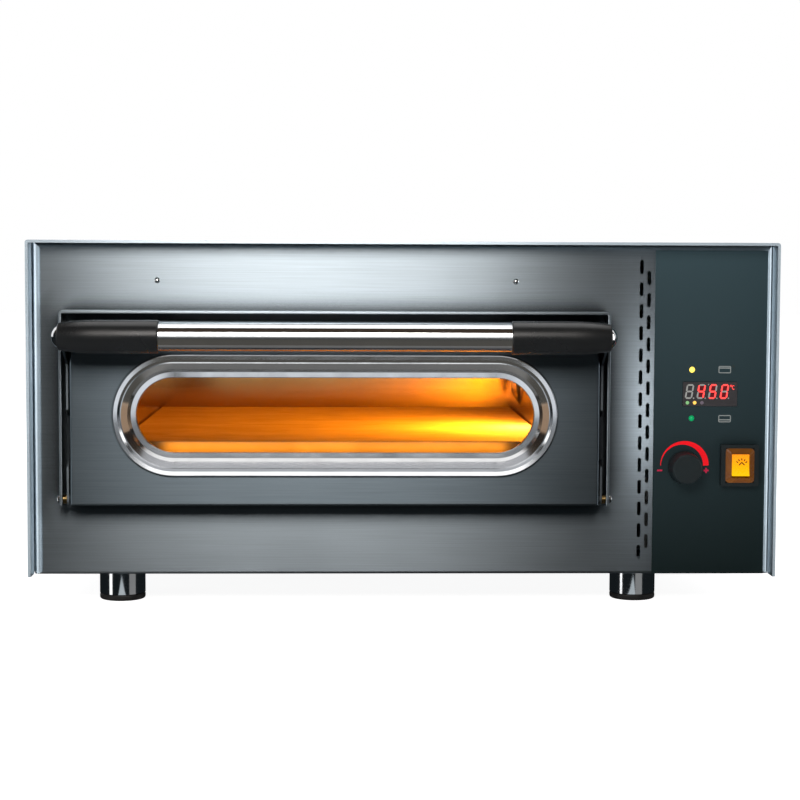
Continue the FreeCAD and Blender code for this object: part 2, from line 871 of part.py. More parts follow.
def window_seal():
    low, high = trim_depth, trim_depth + window_seal_thickness
    inner, outer = trim_edge, glass_lap - window_seal_inset
    return window_ring(outline([(inner, low), (outer, low), (outer, high), (inner, high)]))


def window_glass():
    face = door_front + trim_depth + window_seal_thickness
    return window_prism(glass_lap, face, face + glass_thickness)


def window_sleeve():
    low = trim_depth + window_seal_thickness + glass_thickness
    high = door_back - sheet - door_front
    return window_ring(outline([(sleeve_inset, low), (glass_lap, low), (glass_lap, low + sheet),
                                (sleeve_inset + sheet, low + sheet), (sleeve_inset + sheet, high),
                                (sleeve_inset, high)]))


def side_plate(outer_x, side):
    x0, x1 = sorted((outer_x, outer_x - side * plate_thickness))
    front = door_front + plate_front
    back = door_front + plate_back
    waist = front + waist_depth
    step = waist_slope
    tip_top = (handle_y, handle_z + arm_tip_radius)
    tip_front = (handle_y - arm_tip_radius, handle_z)
    tip_low = (handle_y, handle_z - arm_tip_radius)
    arm_low = (handle_y + grip_inner_radius + fit, handle_z - arm_tip_radius)
    root = (front, door_low + arm_root)
    ear_front = (front, hinge_z)
    ear_low = (hinge_y, hinge_z - (hinge_y - front))
    ear_back = (2 * hinge_y - front, hinge_z)
    back_low = (back, hinge_z + step)
    back_top = (back, handle_z + arm_tip_radius)
    waist_top = (front, door_low + waist_high + step)
    waist_head = (waist, door_low + waist_high)
    waist_foot = (waist, door_low + waist_low + step)
    waist_end = (front, door_low + waist_low)
    strokes = [(ear_front, ear_low, ear_back), (ear_back, back_low), (back_low, back_top),
               (back_top, tip_top), (tip_top, tip_front, tip_low), (tip_low, arm_low), (arm_low, root),
               (root, waist_top), (waist_top, waist_head), (waist_head, waist_foot),
               (waist_foot, waist_end), (waist_end, ear_front)]
    reach = plate_thickness + plate_gap
    pads = [rod(V(outer_x, y, z), X * -side, reach, plate_pad_radius)
            for y, z in ((hinge_y, hinge_z), (hinge_y, door_low + plate_pad_rise))]
    plate = flat_plate(strokes, x0, x1).multiFuse(pads).removeSplitter()
    holes = [rod(V(outer_x + side * past, y, z), X * -side, reach + 2 * past, radius)
             for y, z, radius in ((hinge_y, hinge_z, hinge_radius + hinge_running_gap),
                                  (handle_y, handle_z, cap_stud_radius + fit))]
    return plate.cut(Part.makeCompound(holes))


def handle_grip(outer_x, side):
    start = V(outer_x, handle_y, handle_z)
    along = X * -side
    nose = grip_nose
    swell = (grip_outer_radius + grip_inner_radius) / 2 + grip_belly
    rim = (0, grip_outer_radius - nose / 2)
    shoulder = (nose / 2, grip_outer_radius)
    end_round = (grip_length - nose / 4, grip_inner_radius - nose / 4)
    full = (grip_taper, grip_inner_radius)
    end_side = (grip_length - nose, grip_inner_radius)
    end_face = (grip_length, grip_inner_radius - nose)
    profile = [((0, 0), rim), (rim, shoulder), (shoulder, (grip_taper / 2, swell), full), (full, end_side),
               (end_side, end_round, end_face), (end_face, (grip_length, 0)), ((grip_length, 0), (0, 0))]
    grip = turned(profile, start, along)
    socket = start + along * (grip_length - grip_socket)
    grip = grip.cut(rod(socket, along, grip_socket + past, tube_radius + grip_socket_gap))
    grip = grip.cut(rod(start, along, cap_stud_length + fit, cap_stud_radius + fit))
    pocket = plate_thickness + fit
    low, high = sorted((outer_x + side, outer_x - side * pocket))
    grip = grip.cut(rod(V(low, handle_y, handle_z), X, high - low, arm_tip_radius + fit))
    return grip.cut(box(low, high, handle_y, handle_y + 2 * grip_inner_radius,
                        handle_z - arm_tip_radius - fit, handle_z + arm_tip_radius + fit))


def handle_cap(outer_x, side):
    start = V(outer_x, handle_y, handle_z)
    head = dome(start, X * side, cap_radius, cap_height)
    return head.fuse(rod(start, X * -side, cap_stud_length, cap_stud_radius)).removeSplitter()


def handle_tube():
    low = plate_left + grip_length - grip_socket
    high = plate_right - grip_length + grip_socket
    return tube(V(low, handle_y, handle_z), X, high - low, tube_radius, tube_radius - tube_wall)


# Controls
def control_panel():
    high = fascia_high - fascia_bend
    plate = box(panel_left, panel_right, panel_front, fascia_y, fascia_low + fit, high)
    return plate.cut(Part.makeCompound(control_holes(panel_front - past, fascia_y + past)))


def thermostat_module():
    half_x = display_width / 2 + module_border
    half_z = display_height / 2 + module_border
    body = box(panel_x - half_x, panel_x + half_x, fascia_back, fascia_back + module_depth,
               display_z - half_z, display_z + half_z)
    return round_edges(body, module_border / 2, lambda b: b.YLength > module_depth / 2)


def display_lens():
    return box(panel_x - display_width / 2, panel_x + display_width / 2, panel_front - lens_stand,
               fascia_back, display_z - display_height / 2, display_z + display_height / 2)


def indicator(z):
    start = V(indicator_x, panel_front, z)
    stem = rod(start, Y, indicator_length, indicator_radius)
    collar = rod(V(indicator_x, fascia_back, z), Y, indicator_length / 3, indicator_collar)
    return dome(start, -Y, indicator_radius, indicator_dome).multiFuse([stem, collar]).removeSplitter()


def regulator_body():
    can = rod(V(knob_x, fascia_back, control_z), Y, regulator_depth, regulator_radius)
    neck = rod(V(knob_x, panel_front, control_z), Y, fascia_back - panel_front + fit, regulator_neck)
    body = can.fuse(neck).removeSplitter()
    bore = shaft_radius + shaft_running_gap
    return body.cut(rod(V(knob_x, panel_front - past, control_z), Y, regulator_depth, bore))


def regulator_shaft():
    inner_end = panel_front - past + regulator_depth - fit
    outer_end = panel_front - knob_gap - shaft_grip
    return rod(V(knob_x, outer_end, control_z), Y, inner_end - outer_end, shaft_radius)


def regulator_knob():
    back = V(knob_x, panel_front - knob_gap, control_z)
    top_radius = knob_radius - knob_draft
    crown = knob_height - knob_round
    body = turned([((0, 0), (0, knob_radius)), ((0, knob_radius), (crown, top_radius)),
                   ((crown, top_radius), (knob_height, top_radius - knob_round)),
                   ((knob_height, top_radius - knob_round), (knob_height, 0)), ((knob_height, 0), (0, 0))],
                  back, -Y)
    ribs = []
    for index in range(knob_ribs):
        turn = 2 * math.pi * index / knob_ribs
        foot = V(knob_x + knob_radius * math.cos(turn), panel_front - knob_gap - 2 * knob_round,
                 control_z + knob_radius * math.sin(turn))
        ribs.append(rod(foot, -Y, knob_height, knob_rib_radius))
    body = body.cut(Part.makeCompound(ribs))
    return body.cut(rod(back, -Y, shaft_grip, shaft_radius))


bezel_front = panel_front - bezel_thickness
collar_front = bezel_front - collar_depth
rocker_rear = collar_front + rocker_depth
rocker_pivot_y = rocker_rear - 2 * trunnion_radius
rocker_swing = (rocker_pivot_y - collar_front + rocker_crown) * math.sin(math.radians(rocker_tilt))


def switch_bezel():
    plate = box(switch_x - bezel_width / 2, switch_x + bezel_width / 2, bezel_front, panel_front,
                switch_z - bezel_height / 2, switch_z + bezel_height / 2)
    plate = round_edges(plate, bezel_round, lambda b: b.YLength > bezel_thickness / 2)
    return plate.cut(box(switch_x - collar_width / 2, switch_x + collar_width / 2, bezel_front - past,
                         panel_front + past, switch_z - collar_height / 2, switch_z + collar_height / 2))


def switch_collar():
    half_x, half_z = collar_width / 2, collar_height / 2

    def frame(y, inset, corner):
        x, z = half_x - inset, half_z - inset
        knee = corner * (1 - math.sqrt(0.5))
        arcs = []
        for i, k in ((1, 1), (-1, 1), (-1, -1), (1, -1)):
            side = V(switch_x + i * x, y, switch_z + k * (z - corner))
            middle = V(switch_x + i * (x - knee), y, switch_z + k * (z - knee))
            end = V(switch_x + i * (x - corner), y, switch_z + k * z)
            arcs.append((side, middle, end) if i * k > 0 else (end, middle, side))
        edges = []
        for index, arc in enumerate(arcs):
            edges.append(Part.Arc(*arc).toShape())
            edges.append(Part.LineSegment(arc[2], arcs[(index + 1) % 4][0]).toShape())
        return Part.Wire(edges)

    rim = frame(bezel_front, 0, collar_corner)
    bevel = Part.makeLoft([frame(collar_front, collar_bevel, collar_inner_corner), rim], True, True)
    base = Part.Face(rim).extrude(V(0, fascia_back - bezel_front, 0))
    collar = bevel.fuse(base).removeSplitter()
    well = box(switch_x - rocker_width / 2 - rocker_gap, switch_x + rocker_width / 2 + rocker_gap,
               collar_front - past, fascia_back + past,
               switch_z - rocker_height / 2 - rocker_swing - rocker_gap,
               switch_z + rocker_height / 2 + rocker_swing + rocker_gap)
    reach = rocker_width / 2 + rocker_gap + trunnion_reach
    bore = trunnion_radius + shaft_running_gap
    pivot = rod(V(switch_x - reach, rocker_pivot_y, switch_z), X, 2 * reach, bore)
    return collar.cut(Part.makeCompound([well, pivot]))


def switch_rocker():
    half = rocker_height / 2
    heel = half - rocker_crown
    tip = collar_front - rocker_crown / 2
    dip = collar_front + rocker_crown / 2
    strokes = [((tip, switch_z - half), (dip, switch_z), (tip, switch_z + half)),
               ((tip, switch_z + half), (rocker_rear, switch_z + heel)),
               ((rocker_rear, switch_z + heel), (rocker_rear, switch_z - heel)),
               ((rocker_rear, switch_z - heel), (tip, switch_z - half))]
    paddle = flat_plate(strokes, switch_x - rocker_width / 2, switch_x + rocker_width / 2)
    reach = rocker_width / 2 + trunnion_reach
    paddle = paddle.fuse(rod(V(switch_x - reach, rocker_pivot_y, switch_z), X, 2 * reach, trunnion_radius))
    paddle.rotate(V(switch_x, rocker_pivot_y, switch_z), X, -rocker_tilt)
    return paddle


def switch_body():
    return box(switch_x - collar_width / 2, switch_x + collar_width / 2, fascia_back,
               fascia_back + switch_body_depth, switch_z - collar_height / 2, switch_z + collar_height / 2)


# Control compartment
tray_x = (divider_right + cover_inside) / 2
tray_left = tray_x - tray_width / 2
tray_top = base_top + tray_lift + sheet


def electrical_tray():
    y0, y1 = tray_front, tray_front + tray_depth
    plate = box(tray_left, tray_left + tray_width, y0, y1, base_top + tray_lift, tray_top)
    for x in (tray_left, tray_left + tray_width - sheet):
        plate = plate.fuse(box(x, x + sheet, y0, y1, base_top, base_top + tray_lift))
    return plate.removeSplitter()


def contactor():
    y0 = tray_front + tray_lift
    body = box(tray_x - contactor_width / 2, tray_x + contactor_width / 2, y0, y0 + contactor_depth,
               tray_top, tray_top + contactor_height)
    shoulder = tray_top + contactor_height - contactor_step_height
    for y in (y0, y0 + contactor_depth - contactor_step):
        body = body.cut(box(tray_x - contactor_width, tray_x + contactor_width, y, y + contactor_step,
                            shoulder, tray_top + contactor_height + past))
    return body


def terminal_block():
    y0 = tray_front + tray_depth - tray_lift - terminal_depth
    body = box(tray_x - terminal_width / 2, tray_x + terminal_width / 2, y0, y0 + terminal_depth,
               tray_top, tray_top + terminal_height)
    way = terminal_width / terminal_ways
    wells = []
    for index in range(terminal_ways):
        x = tray_x - terminal_width / 2 + way * (index + 0.5)
        foot = V(x, y0 + terminal_depth / 2, tray_top + terminal_height / 2)
        wells.append(rod(foot, Z, terminal_height, way / 3))
    return body.cut(Part.makeCompound(wells))


def cable_gland():
    length = gland_tail + sheet + gland_nose
    inner_end = rear_inner - gland_tail
    body = rod(V(gland_x, inner_end, gland_z), Y, length, gland_radius)
    flange = rod(V(gland_x, rear_y, gland_z), Y, gland_nut_height, gland_nut)
    nut = rod(V(gland_x, rear_inner - gland_nut_height, gland_z), Y, gland_nut_height, gland_nut)
    gland = body.multiFuse([flange, nut]).removeSplitter()
    gland = round_edges(gland, gland_nut_height / 2, lambda b: b.YMin > rear_y + gland_nose - tiny)
    return gland.cut(rod(V(gland_x, inner_end - past, gland_z), Y, length + 2 * past, gland_bore))


# Feet
def feet():
    tubes, pads, bolts = [], [], []
    radius = foot_diameter / 2
    for x, y in foot_places:
        base = V(x, y, pad_height)
        length = foot_height - pad_height
        leg = tube(base, Z, length, radius, radius - foot_wall)
        lid = rod(V(x, y, foot_height - foot_wall), Z, foot_wall, radius)
        hole = rod(V(x, y, foot_height - foot_wall - past), Z, foot_wall + 2 * past, foot_bolt_radius + fit)
        lid = lid.cut(hole)
        tubes.append(leg.fuse(lid).removeSplitter())
        pad = rod(V(x, y, 0), Z, pad_height, radius)
        pad = round_edges(pad, pad_round, lambda b: b.ZLength < tiny)
        spigot = rod(V(x, y, pad_height / 2), Z, pad_height / 2 + pad_spigot, radius - foot_wall - fit)
        pads.append(pad.fuse(spigot).removeSplitter())
        shank = rod(V(x, y, foot_height - foot_wall), Z, foot_wall + sheet, foot_bolt_radius)
        head = rod(V(x, y, base_top), Z, foot_bolt_head_height, foot_bolt_head)
        bolts.append(head.fuse(shank).removeSplitter())
    return tubes, pads, bolts


os.makedirs("parts", exist_ok=True)

write("outer_cover", outer_cover())
write("base_pan", base_pan())
write("rear_panel", rear_panel())
write("rear_screws", *rear_screws())
write("divider_panel", divider_panel())
write("front_fascia", front_fascia())
write("fascia_screws", *fascia_screws())
write("door_surround", door_surround())
hinge_screws, hinge_bushes = hinge_hardware()
write("hinge_screws", *hinge_screws)
write("hinge_bushes", *hinge_bushes)

write("chamber_liner", chamber_liner())
write("chamber_bearers", *chamber_bearers())
write("stone_rails", *stone_rails())
write("baking_stone", baking_stone())
write("upper_heaters", *[hairpin(x, upper_heater_z) for x in heater_places])
write("lower_heaters", *[hairpin(x, lower_heater_z) for x in heater_places])
write("heater_supports", *heater_supports())
for slab_name, slab in insulation().items():
    write(slab_name, slab)
lamp_housing, lamp_glass, lamp_bulb = lamp()
write("lamp_housing", lamp_housing)
write("lamp_glass", lamp_glass)
write("lamp_bulb", lamp_bulb)
write("temperature_probe", temperature_probe())

write("door_outer_panel", door_outer_panel())
write("door_inner_panel", door_inner_panel())
write("door_insulation", door_insulation())
write("door_seal", door_seal())
write("window_trim", window_trim())
write("window_seal", window_seal())
write("window_glass", window_glass())
write("window_sleeve", window_sleeve())
write("side_plate_left", side_plate(plate_left, -1))
write("side_plate_right", side_plate(plate_right, 1))
write("handle_tube", handle_tube())
write("handle_grip_left", handle_grip(plate_left, -1))
write("handle_grip_right", handle_grip(plate_right, 1))
write("handle_cap_left", handle_cap(plate_left, -1))
write("handle_cap_right", handle_cap(plate_right, 1))

write("control_panel", control_panel())
write("thermostat_module", thermostat_module())
write("display_lens", display_lens())
write("heat_indicator", indicator(display_z + indicator_offset))
write("power_indicator", indicator(display_z - indicator_offset))
write("regulator_body", regulator_body())
write("regulator_shaft", regulator_shaft())
write("regulator_knob", regulator_knob())
write("switch_bezel", switch_bezel())
write("switch_collar", switch_collar())
write("switch_rocker", switch_rocker())
write("switch_body", switch_body())

write("electrical_tray", electrical_tray())
write("contactor", contactor())
write("terminal_block", terminal_block())
write("cable_gland", cable_gland())
foot_tubes, foot_pads, foot_bolts = feet()
write("foot_tubes", *foot_tubes)
write("foot_pads", *foot_pads)
write("foot_bolts", *foot_bolts)
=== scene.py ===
"""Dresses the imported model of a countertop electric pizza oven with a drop-down glazed door.

Places are in metres, in the frame of the solids: X to the right, Y to the back, Z up.
Printed marks are drawn in millimetres.
"""
import json
import math

import bmesh
import bpy
from mathutils import Matrix, Vector


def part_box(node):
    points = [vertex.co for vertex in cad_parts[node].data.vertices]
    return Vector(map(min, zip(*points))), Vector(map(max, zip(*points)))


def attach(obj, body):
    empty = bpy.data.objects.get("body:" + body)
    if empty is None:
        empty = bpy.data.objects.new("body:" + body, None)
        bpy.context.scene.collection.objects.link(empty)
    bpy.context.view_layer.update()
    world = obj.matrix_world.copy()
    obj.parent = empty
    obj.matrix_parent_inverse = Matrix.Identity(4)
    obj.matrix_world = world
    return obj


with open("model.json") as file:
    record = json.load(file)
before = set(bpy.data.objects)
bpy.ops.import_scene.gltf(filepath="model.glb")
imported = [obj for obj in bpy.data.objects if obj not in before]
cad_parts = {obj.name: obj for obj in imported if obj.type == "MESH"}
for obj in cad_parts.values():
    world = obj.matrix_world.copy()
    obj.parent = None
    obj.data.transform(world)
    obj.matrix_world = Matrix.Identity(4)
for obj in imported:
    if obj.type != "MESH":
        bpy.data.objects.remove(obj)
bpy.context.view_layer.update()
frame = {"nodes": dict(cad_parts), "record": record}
nodes = frame["nodes"]

mm = 0.001
ink_height = 0.06 * mm
to_back, up, down = (0, 1, 0), (0, 0, 1), (0, 0, -1)


def middle_of(node_name):
    low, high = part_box(node_name)
    return (low + high) / 2


def size_of(node_name):
    low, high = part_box(node_name)
    return high - low


# Shader steps


class Finish:
    """One principled material, with the node steps that the finishes share."""

    def __init__(self, name, colour, metallic=0.0, roughness=0.5, constants=None):
        self.material = bpy.data.materials.new(name)
        self.material.use_nodes = True
        self.tree = self.material.node_tree
        self.shader = self.tree.nodes["Principled BSDF"]
        self.colour = colour
        self.tint = None
        self.roughness = roughness
        self.normal = None
        settings = {"Base Color": (*colour, 1.0), "Metallic": metallic, "Roughness": roughness}
        settings.update(constants or {})
        for socket, value in settings.items():
            self.shader.inputs[socket].default_value = value

    def add(self, kind, **settings):
        """Adds a node and sets its own properties."""
        node = self.tree.nodes.new("ShaderNode" + kind)
        for name, value in settings.items():
            setattr(node, name, value)
        return node

    def link(self, output, socket):
        self.tree.links.new(output, socket)

    def place(self):
        """The point's own coordinates on its piece."""
        return self.add("TexCoord").outputs["Object"]

    def vector_math(self, operation, first, second=(0, 0, 0)):
        node = self.add("VectorMath", operation=operation)
        self.link(first, node.inputs[0])
        node.inputs[1].default_value = second
        return node.outputs[0]

    def length(self, vector):
        node = self.add("VectorMath", operation="LENGTH")
        self.link(vector, node.inputs[0])
        return node.outputs["Value"]

    def along_axis(self, vector, axis):
        """One of the three numbers of a vector."""
        split = self.add("SeparateXYZ")
        self.link(vector, split.inputs[0])
        return split.outputs[axis]

    def noise(self, cells_per_metre, detail=2.0, distortion=0.0):
        """Noise over the piece's own coordinates, with its own scale along each axis."""
        node = self.add("TexNoise")
        self.link(self.vector_math("MULTIPLY", self.place(), cells_per_metre), node.inputs["Vector"])
        node.inputs["Scale"].default_value = 1.0
        node.inputs["Detail"].default_value = detail
        node.inputs["Distortion"].default_value = distortion
        return node.outputs["Fac"]

    def spread(self, signal, low, high, start=0.3, end=0.7):
        """Maps a signal onto the range from low to high."""
        node = self.add("MapRange")
        self.link(signal, node.inputs["Value"])
        node.inputs["From Min"].default_value = start
        node.inputs["From Max"].default_value = end
        node.inputs["To Min"].default_value = low
        node.inputs["To Max"].default_value = high
        return node.outputs["Result"]

    def blend(self, factor, first, second):
        """Mixes two colours or signals by a factor."""
        node = self.add("MixRGB")
        self.link(factor, node.inputs["Fac"])
        for socket, value in (("Color1", first), ("Color2", second)):
            if isinstance(value, bpy.types.NodeSocket):
                self.link(value, node.inputs[socket])
            else:
                node.inputs[socket].default_value = (*value, 1.0)
        return node.outputs["Color"]

    def height_share(self, node_name):
        """How high a point lies on a piece, from 0 at its bottom to 1 at its top."""
        low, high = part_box(node_name)
        return self.spread(self.along_axis(self.place(), "Z"), 0.0, 1.0, low.z, high.z)

    def vary_roughness(self, signal, amount):
        rough = self.spread(signal, self.roughness - amount, self.roughness + amount)
        self.link(rough, self.shader.inputs["Roughness"])

    def grade_colour(self, factor, other):
        """Grades the colour from its own, at a factor of 0, to another one at 1."""
        self.tint = self.blend(factor, self.colour, other)
        self.link(self.tint, self.shader.inputs["Base Color"])

    def vary_colour(self, signal, other):
        """Lets the colour wander from its own to another one."""
        self.grade_colour(self.spread(signal, 0.0, 1.0), other)

    def glow_evenly(self, colour):
        self.shader.inputs["Emission Color"].default_value = (*colour, 1.0)

    def glow_between(self, factor, first, second):
        """Glows in a blend of two colours."""
        self.link(self.blend(factor, first, second), self.shader.inputs["Emission Color"])

    def distance_from(self, centre, half_size):
        """How far a point lies outside a box."""
        offset = self.vector_math("ABSOLUTE", self.vector_math("SUBTRACT", self.place(), centre))
        return self.length(self.vector_math("MAXIMUM", self.vector_math("SUBTRACT", offset, half_size)))

    def paint_corner_shade(self, reach, darkest_painted_shade, centre, half_size):
        """Paints shade into the colour, darker where other pieces stand close in front, in and near a
        box.
        """
        closed_below, open_above = 0.5, 0.8
        fade_start, fade_end = 25 * mm, 45 * mm
        near = self.add("AmbientOcclusion")
        near.inputs["Distance"].default_value = reach
        away = self.spread(self.distance_from(centre, half_size), 0.0, 1.0, fade_start, fade_end)
        openness = self.add("Math", operation="MAXIMUM")
        clear = self.spread(near.outputs["AO"], 0.0, 1.0, closed_below, open_above)
        self.link(clear, openness.inputs[0])
        self.link(away, openness.inputs[1])
        painted_shade_colour = self.vector_math("MULTIPLY", self.tint, (darkest_painted_shade,) * 3)
        self.link(self.blend(openness.outputs[0], painted_shade_colour, self.tint), self.shader.inputs["Base Color"])

    def relief(self, signal, height):
        """Raises the surface by a signal, on top of any relief it has."""
        bump = self.add("Bump")
        bump.inputs["Strength"].default_value = 1.0
        bump.inputs["Distance"].default_value = height
        self.link(signal, bump.inputs["Height"])
        if self.normal:
            self.link(self.normal, bump.inputs["Normal"])
        self.normal = bump.outputs["Normal"]
        self.link(self.normal, self.shader.inputs["Normal"])

    def brush_lines(self, length, width):
        """Brush lines that run along X, and along Y on the faces that look sideways."""
        along, across = 1.0 / length, 1.0 / width
        front = self.noise((along, across, across))
        side = self.noise((across, along, across))
        normal = self.add("NewGeometry").outputs["Normal"]
        sideways = self.along_axis(self.vector_math("ABSOLUTE", normal), "X")
        return self.blend(self.spread(sideways, 0.0, 1.0, 0.6, 0.8), front, side)

    def comb(self, strength):
        """Stretches the highlights across the brush lines."""
        grain = (0.95, 0.3, 0.0)
        normal = self.add("NewGeometry").outputs["Normal"]
        self.link(self.vector_math("CROSS_PRODUCT", normal, grain), self.shader.inputs["Tangent"])
        self.shader.inputs["Anisotropic"].default_value = strength


def shade(colour, factor):
    return tuple(channel * factor for channel in colour)


# Finishes, one for each kind of surface


def brushed_steel(name, colour):
    steel = Finish(name, colour, metallic=1.0, roughness=0.374)
    lines = steel.brush_lines(90 * mm, 0.7 * mm)
    smears = steel.noise((6, 9, 9), detail=3.0)
    steel.vary_colour(lines, shade(colour, 0.86))
    steel.vary_roughness(smears, 0.03)
    door_middle, door_size = middle_of("door_outer_panel"), size_of("door_outer_panel")
    # Painted shade on and round the door: darker under it, in its corners and behind its handle.
    steel.paint_corner_shade(reach=40 * mm, darkest_painted_shade=0.15, centre=door_middle, half_size=door_size / 2)
    steel.relief(lines, 0.002 * mm)
    steel.comb(0.87)
    return steel.material


def polished_steel(name, colour, roughness):
    steel = Finish(name, colour, metallic=1.0, roughness=roughness)
    haze = steel.noise((40, 40, 40), detail=3.0)
    scratches = steel.noise((25, 900, 900))
    steel.vary_roughness(haze, 0.025)
    steel.vary_colour(haze, shade(colour, 0.93))
    steel.relief(scratches, 0.0015 * mm)
    return steel.material


def warm_chamber_steel(name):
    colour = (0.60, 0.43, 0.17)
    steel = Finish(name, colour, metallic=1.0, roughness=0.18)
    streaks = steel.noise((2.5, 90, 90))
    stains = steel.noise((9, 9, 9))
    steel.vary_roughness(stains, 0.04)
    steel.vary_colour(streaks, shade(colour, 0.8))
    steel.relief(streaks, 0.012 * mm)
    return steel.material


def brass(name):
    colour = (0.62, 0.42, 0.17)
    metal = Finish(name, colour, metallic=1.0, roughness=0.3)
    tarnish = metal.noise((300, 300, 300), detail=3.0)
    metal.vary_colour(tarnish, shade(colour, 0.6))
    metal.vary_roughness(tarnish, 0.1)
    return metal.material


def fire_stone(name):
    colour = (0.50, 0.385, 0.27)
    stone = Finish(name, colour, roughness=0.82)
    grain = stone.noise((700, 700, 700), detail=4.0)
    patches = stone.noise((14, 30, 30), detail=4.0, distortion=0.8)
    stone.vary_colour(patches, (0.38, 0.27, 0.17))
    stone.vary_roughness(grain, 0.12)
    stone.relief(grain, 0.25 * mm)
    return stone.material


def heater_sheath(name):
    colour = (0.24, 0.20, 0.18)
    metal = Finish(name, colour, metallic=1.0, roughness=0.5)
    scale = metal.noise((180, 180, 180), detail=4.0)
    metal.vary_colour(scale, (0.34, 0.22, 0.14))
    metal.vary_roughness(scale, 0.12)
    metal.relief(scale, 0.05 * mm)
    return metal.material


def mineral_wool(name):
    colour = (0.62, 0.55, 0.36)
    wool = Finish(name, colour, roughness=0.95, constants={"Sheen Weight": 0.3})
    fibres = wool.noise((250, 900, 250), detail=5.0, distortion=1.5)
    tufts = wool.noise((40, 40, 40), detail=3.0)
    wool.vary_colour(tufts, (0.48, 0.40, 0.23))
    wool.relief(fibres, 0.6 * mm)
    return wool.material


def clear_glass(name, tint, bending):
    glass = Finish(name, tint, roughness=0.02, constants={"Transmission Weight": 1.0, "IOR": bending})
    film = glass.noise((30, 30, 30), detail=3.0)
    glass.vary_roughness(film, 0.012)
    return glass.material


def glowing_bulb(name):
    bulb = Finish(name, (1.0, 0.86, 0.6), roughness=0.2, constants={"Emission Strength": 1.5})
    heat = bulb.noise((120, 120, 120))
    bulb.glow_between(bulb.spread(heat, 0.0, 1.0), (1.0, 0.55, 0.18), (1.0, 0.7, 0.32))
    return bulb.material


def graphite_film(name):
    """The control strip's dark film, painted paler towards its top, where more light falls on it."""
    shaded_bottom, lit_top = (0.003, 0.011, 0.012), (0.028, 0.056, 0.068)
    film = Finish(name, shaded_bottom, roughness=0.46, constants={"Specular IOR Level": 0.25})
    grain = film.noise((2500, 2500, 2500))
    # Painted light: the film grades from a shaded colour at its bottom to a lit one at its top.
    film.grade_colour(film.height_share("control_panel"), lit_top)
    film.vary_roughness(grain, 0.05)
    film.relief(grain, 0.012 * mm)
    return film.material


def moulded_plastic(name, colour, roughness):
    plastic = Finish(name, colour, roughness=roughness)
    grain = plastic.noise((1800, 1800, 1800))
    handling = plastic.noise((25, 25, 25), detail=3.0)
    plastic.vary_colour(handling, shade(colour, 0.75))
    plastic.vary_roughness(handling, 0.06)
    plastic.relief(grain, 0.03 * mm)
    return plastic.material


def smoked_lens(name):
    colour = (0.040, 0.038, 0.041)
    lens = Finish(name, colour, roughness=0.22)
    wipe = lens.noise((40, 40, 160), detail=3.0)
    lens.vary_roughness(wipe, 0.05)
    lens.vary_colour(wipe, shade(colour, 1.2))
    return lens.material


def lit_lens(name, colour, core, strength):
    """A small moulded lens with a lamp behind it, brightest at its middle."""
    lens = Finish(name, colour, roughness=0.25, constants={"Emission Strength": strength})
    facing = lens.add("LayerWeight")
    facing.inputs["Blend"].default_value = 0.35
    lens.glow_between(facing.outputs["Facing"], core, colour)
    frost = lens.noise((900, 900, 900))
    lens.vary_roughness(frost, 0.08)
    return lens.material


def amber_collar(name):
    colour = (0.17, 0.058, 0.011)
    settings = {"Coat Weight": 0.3, "Emission Strength": 0.03}
    amber = Finish(name, colour, roughness=0.26, constants=settings)
    flow = amber.noise((90, 90, 90))
    amber.vary_colour(flow, (0.12, 0.034, 0.006))
    amber.vary_roughness(flow, 0.05)
    amber.glow_evenly((1.0, 0.35, 0.03))
    return amber.material


def amber_rocker(name):
    """A lit rocker: orange at its top and yellow below, where its lamp is nearest."""
    yellow, orange = (1.0, 0.58, 0.0), (1.0, 0.29, 0.0)
    rocker = Finish(name, (0.30, 0.07, 0.0), roughness=0.28, constants={"Emission Strength": 1.0})
    rocker.glow_between(rocker.height_share("switch_rocker"), yellow, orange)
    frost = rocker.noise((700, 700, 700))
    rocker.vary_roughness(frost, 0.05)
    return rocker.material


def black_rubber(name):
    colour = (0.005, 0.005, 0.005)
    rubber = Finish(name, colour, roughness=0.6)
    dust = rubber.noise((140, 140, 140), detail=4.0)
    rubber.vary_colour(dust, (0.014, 0.013, 0.012))
    rubber.vary_roughness(dust, 0.08)
    rubber.relief(dust, 0.08 * mm)
    return rubber.material


def woven_seal(name):
    colour = (0.34, 0.32, 0.29)
    seal = Finish(name, colour, roughness=0.9)
    weave = seal.noise((600, 600, 600), detail=3.0)
    seal.vary_colour(weave, shade(colour, 0.55))
    seal.relief(weave, 0.3 * mm)
    return seal.material


def printed_ink(name, colour, glow=0.0):
    settings = {"Emission Strength": glow, "Specular IOR Level": 0.2}
    ink = Finish(name, colour, roughness=0.5, constants=settings)
    ink.glow_evenly(colour)
    cover = ink.noise((900, 900, 900))
    ink.vary_colour(cover, shade(colour, 0.88))
    ink.vary_roughness(cover, 0.06)
    return ink.material


